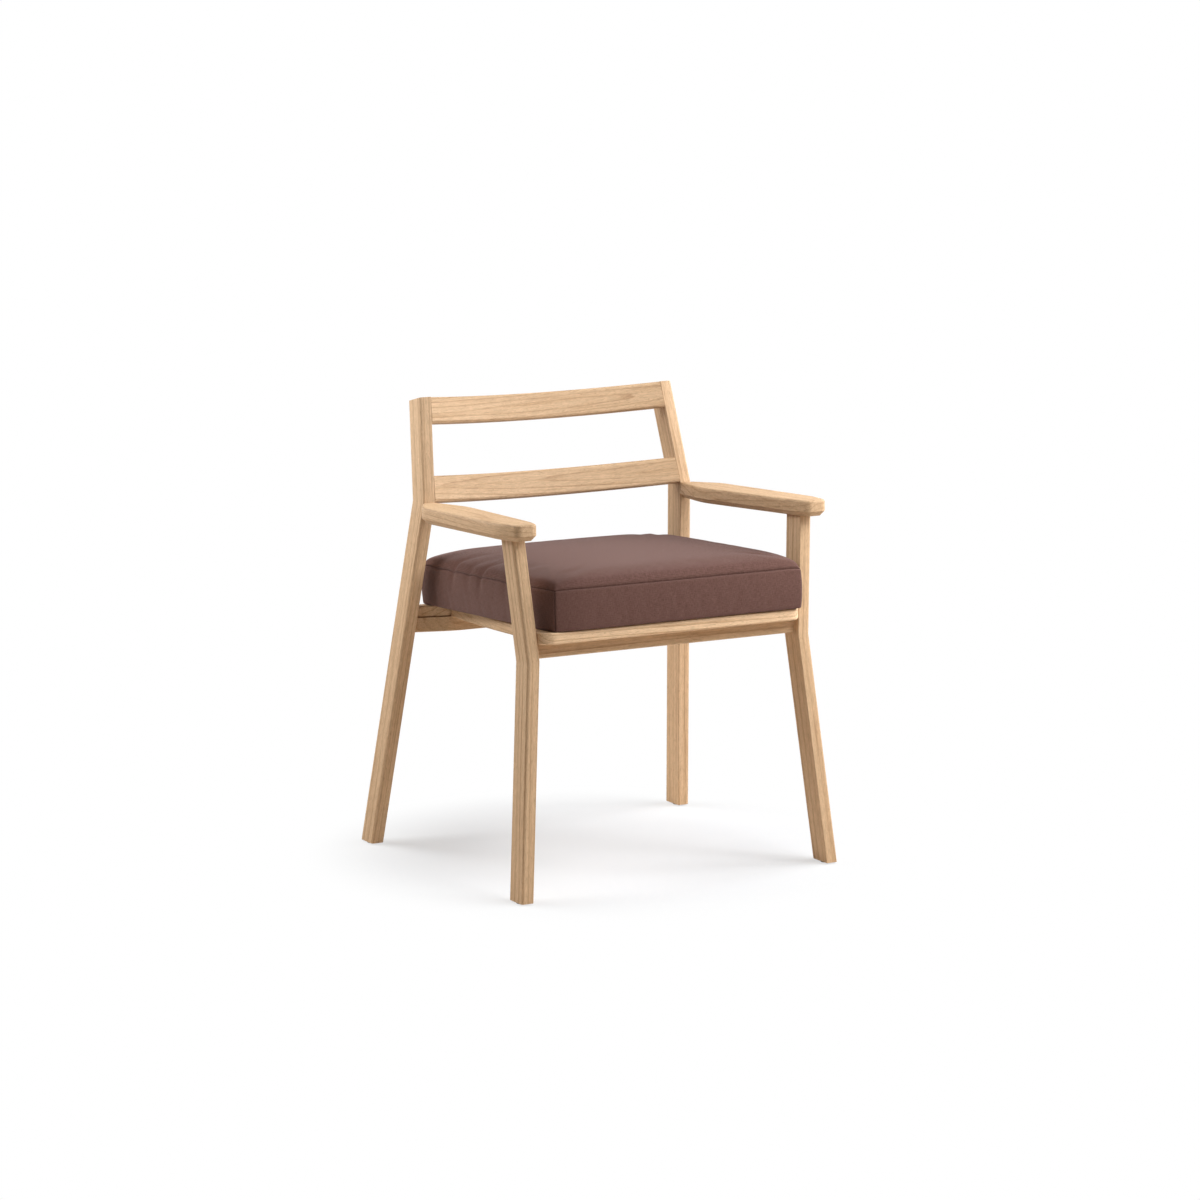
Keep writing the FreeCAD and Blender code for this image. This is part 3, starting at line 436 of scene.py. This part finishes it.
def fold(y, inset, drop):
    """How deep the slack cover folds in on its left side, at an inset from the seam or a drop below it."""
    deep = 0.0
    for start, strength, spread in FOLDS:
        half = FOLD_HALF * spread * (1 + FOLD_WIDENS[0] * inset + FOLD_WIDENS[1] * drop)
        away = (y - start + FOLD_SLANT * inset - FOLD_LEAN * drop) / half
        fade = max(0.0, 1 - inset / FOLD_INWARD) ** 1.3 * max(0.0, 1 - drop / FOLD_DOWN) ** 2
        deep += FOLD_DEEP * strength * fade * math.exp(-away * away)
    return deep


def stuffed(flat):
    """Where a point of the flat-sided box lies when the cover is filled."""
    across = flat.x / COVER_HALF
    along = (flat.y - middle_y) / (depth / 2)
    wide = Vector((across * SWELL[0] * (1 - along ** 2), along * SWELL[1] * (1 - across ** 2), 0))
    wide *= min(1.0, flat.z / SEAM_HEIGHT)
    inset_x = COVER_HALF - abs(flat.x)
    inset_y = depth / 2 - abs(flat.y - middle_y)
    on_left = flat.x < -COVER_HALF / 2
    from_corner = math.hypot(COVER_HALF + flat.x, flat.y - COVER_FRONT)
    wide += Vector((1, 1, 0)) * TUCK * max(0.0, 1 - from_corner / TUCK_REACH) ** 2
    point = flat + wide
    if flat.z > SEAM_HEIGHT - ON_EDGE:
        lean = 0.5 + 0.5 * math.sin(math.pi / 2 * across)
        power, root = (a + (b - a) * lean for a, b in zip(LEFT_FULL, RIGHT_FULL))
        full = [max(0.0, 1 - abs(share) ** power) ** root for share in (across, along)]
        dome = (1 - across ** 2) * (1 - along ** 2)
        point.z += RISE * (BOX_SHARE * full[0] * full[1] + DOME_SHARE * dome)
        if on_left:
            deep = fold(flat.y, inset_x, 0)
            point += Vector((deep * FOLD_PULL, 0, -deep))
    elif flat.z > ON_EDGE:
        out = BULGE * math.sin(math.pi * flat.z / SEAM_HEIGHT)
        if inset_x < ON_EDGE:
            point.x += math.copysign(out, flat.x)
            if on_left:
                point.x += fold(flat.y, 0, SEAM_HEIGHT - flat.z)
        if inset_y < ON_EDGE:
            point.y += math.copysign(out, along)
    return point


# The seams, the zip and the underside are kept as groups, because the filling moves their points.
heights = [vertex.co.z for vertex in cushion.data.vertices]
zip_height = min(heights, key=lambda height: abs(height - SEAM_HEIGHT / 2))
groups = {"top_seam": [], "corner_seam": [], "zip": [], "lying": []}
for vertex in cushion.data.vertices:
    place = vertex.co
    on_x = COVER_HALF - abs(place.x) < ON_EDGE
    on_y = depth / 2 - abs(place.y - middle_y) < ON_EDGE
    if on_x or on_y:
        if abs(place.z - SEAM_HEIGHT) < ON_EDGE:
            groups["top_seam"].append(vertex.index)
        if on_x and on_y and place.y < 0:
            groups["corner_seam"].append(vertex.index)
        if on_y and place.y > 0 and abs(place.x) < ZIP_HALF and abs(place.z - zip_height) < ON_EDGE:
            groups["zip"].append(vertex.index)
    if abs(place.z) < ON_EDGE:
        groups["lying"].append(vertex.index)
groups["held"] = groups["lying"] + groups["top_seam"]
for name, members in groups.items():
    cushion.vertex_groups.new(name=name).add(members, 1.0, "REPLACE")
for vertex in cushion.data.vertices:
    vertex.co = stuffed(vertex.co)

# The fabric settles over its filling, held along the top seam and where it lies on the seat.
filled = [vertex.co.copy() for vertex in cushion.data.vertices]
bpy.context.view_layer.objects.active = cushion
cloth = cushion.modifiers.new("cloth", "CLOTH")
cloth.settings.quality = 6
cloth.settings.mass = 0.3
cloth.settings.tension_stiffness = 20
cloth.settings.compression_stiffness = 20
cloth.settings.shear_stiffness = 8
cloth.settings.bending_stiffness = 1.5
cloth.settings.use_pressure = True
cloth.settings.uniform_pressure_force = 2.5
cloth.settings.shrink_min = -0.002
cloth.settings.vertex_group_mass = "held"
cloth.settings.effector_weights.gravity = 0
for step in range(1, CLOTH_FRAMES + 1):
    bpy.context.scene.frame_set(step)
bpy.ops.object.modifier_apply(modifier="cloth")
bpy.context.scene.frame_set(1)
for vertex, start in zip(cushion.data.vertices, filled):
    move = vertex.co - start
    vertex.co = start + move / (1 + move.length / CLOTH_CAP)

# A finer mesh takes the narrow grooves of the seams.
bpy.context.view_layer.objects.active = cushion
finer = cushion.modifiers.new("finer", "SUBSURF")
finer.levels = 1
finer.render_levels = 1
bpy.ops.object.modifier_apply(modifier="finer")


def weight(vertex, group):
    """How much a vertex belongs to a group."""
    return next((entry.weight for entry in vertex.groups if entry.group == group.index), 0.0)


# Each seam is a narrow strip, sunk between the pieces of fabric that it joins.
bpy.ops.object.mode_set(mode="EDIT")
bpy.ops.mesh.select_mode(type="EDGE")
bpy.ops.mesh.select_all(action="DESELECT")
bpy.ops.object.mode_set(mode="OBJECT")
sewn = [cushion.vertex_groups[name] for name in ("top_seam", "corner_seam", "zip")]
for edge in cushion.data.edges:
    ends = [cushion.data.vertices[i] for i in edge.vertices]
    edge.select = any(all(weight(end, seam) > 0.999 for end in ends) for seam in sewn)
bpy.ops.object.mode_set(mode="EDIT")
bpy.ops.mesh.bevel(offset=SEAM_HALF, segments=1)
bpy.ops.mesh.extrude_region_shrink_fatten(TRANSFORM_OT_shrink_fatten={"value": -SEAM_DEEP})
bpy.ops.object.mode_set(mode="OBJECT")

# The cushion is laid on the sloping seat.
cushion.data.transform(Matrix.Translation(SEAT_MIDDLE) @ Matrix.Rotation(-SEAT_SLOPE, 4, "X"))
bpy.ops.object.select_all(action="DESELECT")
cushion.select_set(True)
bpy.ops.object.shade_smooth()

# A plain weave of uneven yarn: two crossed sets of threads, each with thick and thin places.
material, shader = new_material("cover_weave")
weave_at = node(material, "ShaderNodeTexCoord", {}, {}).outputs["UV"]
warp, weft = (
    node(material, "ShaderNodeTexWave", {"bands_direction": direction},
         {"Vector": weave_at, "Scale": math.pi / 10 / THREAD}).outputs["Fac"]
    for direction in ("X", "Y"))
over = sums(material, "MULTIPLY", warp, weft)
slubs = []
for drawn_out in ((SLUB_LONG, 1, 1), (1, SLUB_LONG, 1)):
    stretch = {"Vector": weave_at, "Scale": drawn_out}
    stretched = node(material, "ShaderNodeMapping", {"vector_type": "TEXTURE"}, stretch)
    slubs.append(noise(material, stretched.outputs[0], SLUB_SCALE, 2))
slub = sums(material, "MULTIPLY", sums(material, "ADD", slubs[0], slubs[1]), 0.5)
shade = ramp(material, slub, ((0.36, 0.0), (0.64, 1.0)))
colour = mixed(material, shade, COVER_DARK, COVER_LIGHT)
colour = mixed(material, 1.0, colour, ramp(material, over, ((0.0, 0.8), (1.0, 1.15))), "MULTIPLY")
set_input(material, shader.inputs["Base Color"], colour)
shader.inputs["Roughness"].default_value = COVER_DULL
shader.inputs["Specular IOR Level"].default_value = COVER_SHINE
shader.inputs["Sheen Weight"].default_value = NAP
shader.inputs["Sheen Roughness"].default_value = NAP_SPREAD
shader.inputs["Sheen Tint"].default_value = NAP_COLOUR
relief = sums(material, "ADD", over, sums(material, "MULTIPLY", slub, 0.6))
bump = node(material, "ShaderNodeBump", {}, {"Height": relief, "Strength": 0.5, "Distance": WEAVE_RELIEF})
set_input(material, shader.inputs["Normal"], bump.outputs["Normal"])
cushion.data.materials.append(material)
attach(cushion, "cushion")
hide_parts("cushion_cover", "cushion_foam")

# Studio
# A pale floor that keeps the chair's shadow, two soft lamps on the left, and three from front to right.
# The surround looks white but gives only a little light, and the floor throws a warm light back up.
CAMERA_PLACE = (-3.32739, -5.80713, 1.56886)
CAMERA_AZIMUTH = -29.813
CAMERA_ELEVATION = 9.733
CAMERA_LENS = 124.667
CAMERA_SENSOR = 36
FLOOR_SIZE = 40
FLOOR_BACK = (0.78, 0.71, 0.64, 1)
FLOOR_SEEN = (0.62, 0.62, 0.62, 1)
FLOOR_GLOW = 0.16
SHADOW_FULL = 0.22
SHADOW_GONE = 0.5
ROOM_LIGHT = (1, 0.88, 0.76, 1)
ROOM_STRENGTH = 0.08
WHITE = (1, 1, 1, 1)
# Each lamp's angle round the chair and height, distance, size, strength and colour.
LAMPS = {
    "left_lamp": (-124, 40, 1.7, 1.2, 0.82, (0.98, 1.0, 1.02)),
    "rim_lamp": (-152, 14, 2.4, 1.2, 0.2, (0.94, 1.0, 1.06)),
    "front_lamp": (27, 45, 2.5, 1.5, 0.63, (0.97, 1.0, 1.04)),
    "right_lamp": (54, 31, 1.6, 1.0, 0.61, (0.97, 1.0, 1.04)),
    "side_lamp": (80, 30, 1.6, 1.0, 0.5, (0.97, 1.0, 1.04)),
}
LAMPS_FACE = Vector((0, 0, 0.4))


def looked_at(material):
    """1 for what is seen, straight or in metal or glass, and 0 for what only sends light to other things."""
    rays = node(material, "ShaderNodeLightPath", {}, {})
    seen = sums(material, "MAXIMUM", rays.outputs["Is Camera Ray"], rays.outputs["Is Glossy Ray"])
    return sums(material, "MAXIMUM", seen, rays.outputs["Is Transmission Ray"])


bpy.ops.object.select_all(action="DESELECT")
bpy.ops.mesh.primitive_plane_add(size=FLOOR_SIZE)
floor = bpy.context.object
floor.name = "floor"
floor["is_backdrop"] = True
material, shader = new_material("floor_white")
shader.inputs["Base Color"].default_value = FLOOR_BACK
shader.inputs["Roughness"].default_value = 1.0
shader.inputs["Specular IOR Level"].default_value = 0.0
seen = looked_at(material)
ground = node(material, "ShaderNodeTexCoord", {}, {}).outputs["Object"]
reach = node(material, "ShaderNodeVectorMath", {"operation": "LENGTH"}, {0: ground}).outputs["Value"]
near = node(material, "ShaderNodeMapRange", {"interpolation_type": "SMOOTHSTEP"},
            {"Value": reach, "From Min": SHADOW_FULL, "From Max": SHADOW_GONE,
             "To Min": 1.0, "To Max": 0.0}).outputs[0]
shade = node(material, "ShaderNodeBsdfDiffuse", {}, {"Color": FLOOR_SEEN})
glow = node(material, "ShaderNodeEmission", {}, {"Color": WHITE, "Strength": FLOOR_GLOW})
white = node(material, "ShaderNodeEmission", {}, {"Color": WHITE, "Strength": 1.0})
keeps = node(material, "ShaderNodeAddShader", {}, {0: shade.outputs[0], 1: glow.outputs[0]})
pale = node(material, "ShaderNodeMixShader", {}, {0: near, 1: white.outputs[0], 2: keeps.outputs[0]})
either = node(material, "ShaderNodeMixShader", {}, {0: seen, 1: shader.outputs[0], 2: pale.outputs[0]})
set_input(material, material.node_tree.nodes["Material Output"].inputs["Surface"], either.outputs[0])
floor.data.materials.append(material)

world = bpy.data.worlds.new("studio")
bpy.context.scene.world = world
world.use_nodes = True
seen = looked_at(world)
background = world.node_tree.nodes["Background"]
set_input(world, background.inputs["Color"], mixed(world, seen, ROOM_LIGHT, WHITE))
extra = sums(world, "MULTIPLY", seen, 1 - ROOM_STRENGTH)
set_input(world, background.inputs["Strength"], sums(world, "ADD", extra, ROOM_STRENGTH))


def softbox(name, azimuth, elevation, distance, size, strength, colour):
    """A square lamp that faces the chair; strength 1 lights a facing surface to its own colour."""
    lamp = bpy.data.objects.new(name, bpy.data.lights.new(name, "AREA"))
    bpy.context.scene.collection.objects.link(lamp)
    turn, rise = math.radians(azimuth), math.radians(elevation)
    away = Vector((math.sin(turn) * math.cos(rise), -math.cos(turn) * math.cos(rise), math.sin(rise)))
    lamp.location = LAMPS_FACE + away * distance
    lamp.rotation_euler = away.to_track_quat("Z", "Y").to_euler()
    lamp.data.size = size
    lamp.data.color = colour
    lamp.data.energy = strength * (math.pi * distance) ** 2


for name, settings in LAMPS.items():
    softbox(name, *settings)

camera = bpy.data.objects.new("camera", bpy.data.cameras.new("camera"))
bpy.context.scene.collection.objects.link(camera)
camera.location = CAMERA_PLACE
camera.rotation_euler = (math.radians(90 - CAMERA_ELEVATION), 0, math.radians(CAMERA_AZIMUTH))
camera.data.lens = CAMERA_LENS
camera.data.sensor_width = CAMERA_SENSOR
camera.data.clip_end = 100
bpy.context.scene.camera = camera
bpy.context.scene.view_settings.view_transform = "Standard"

low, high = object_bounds()
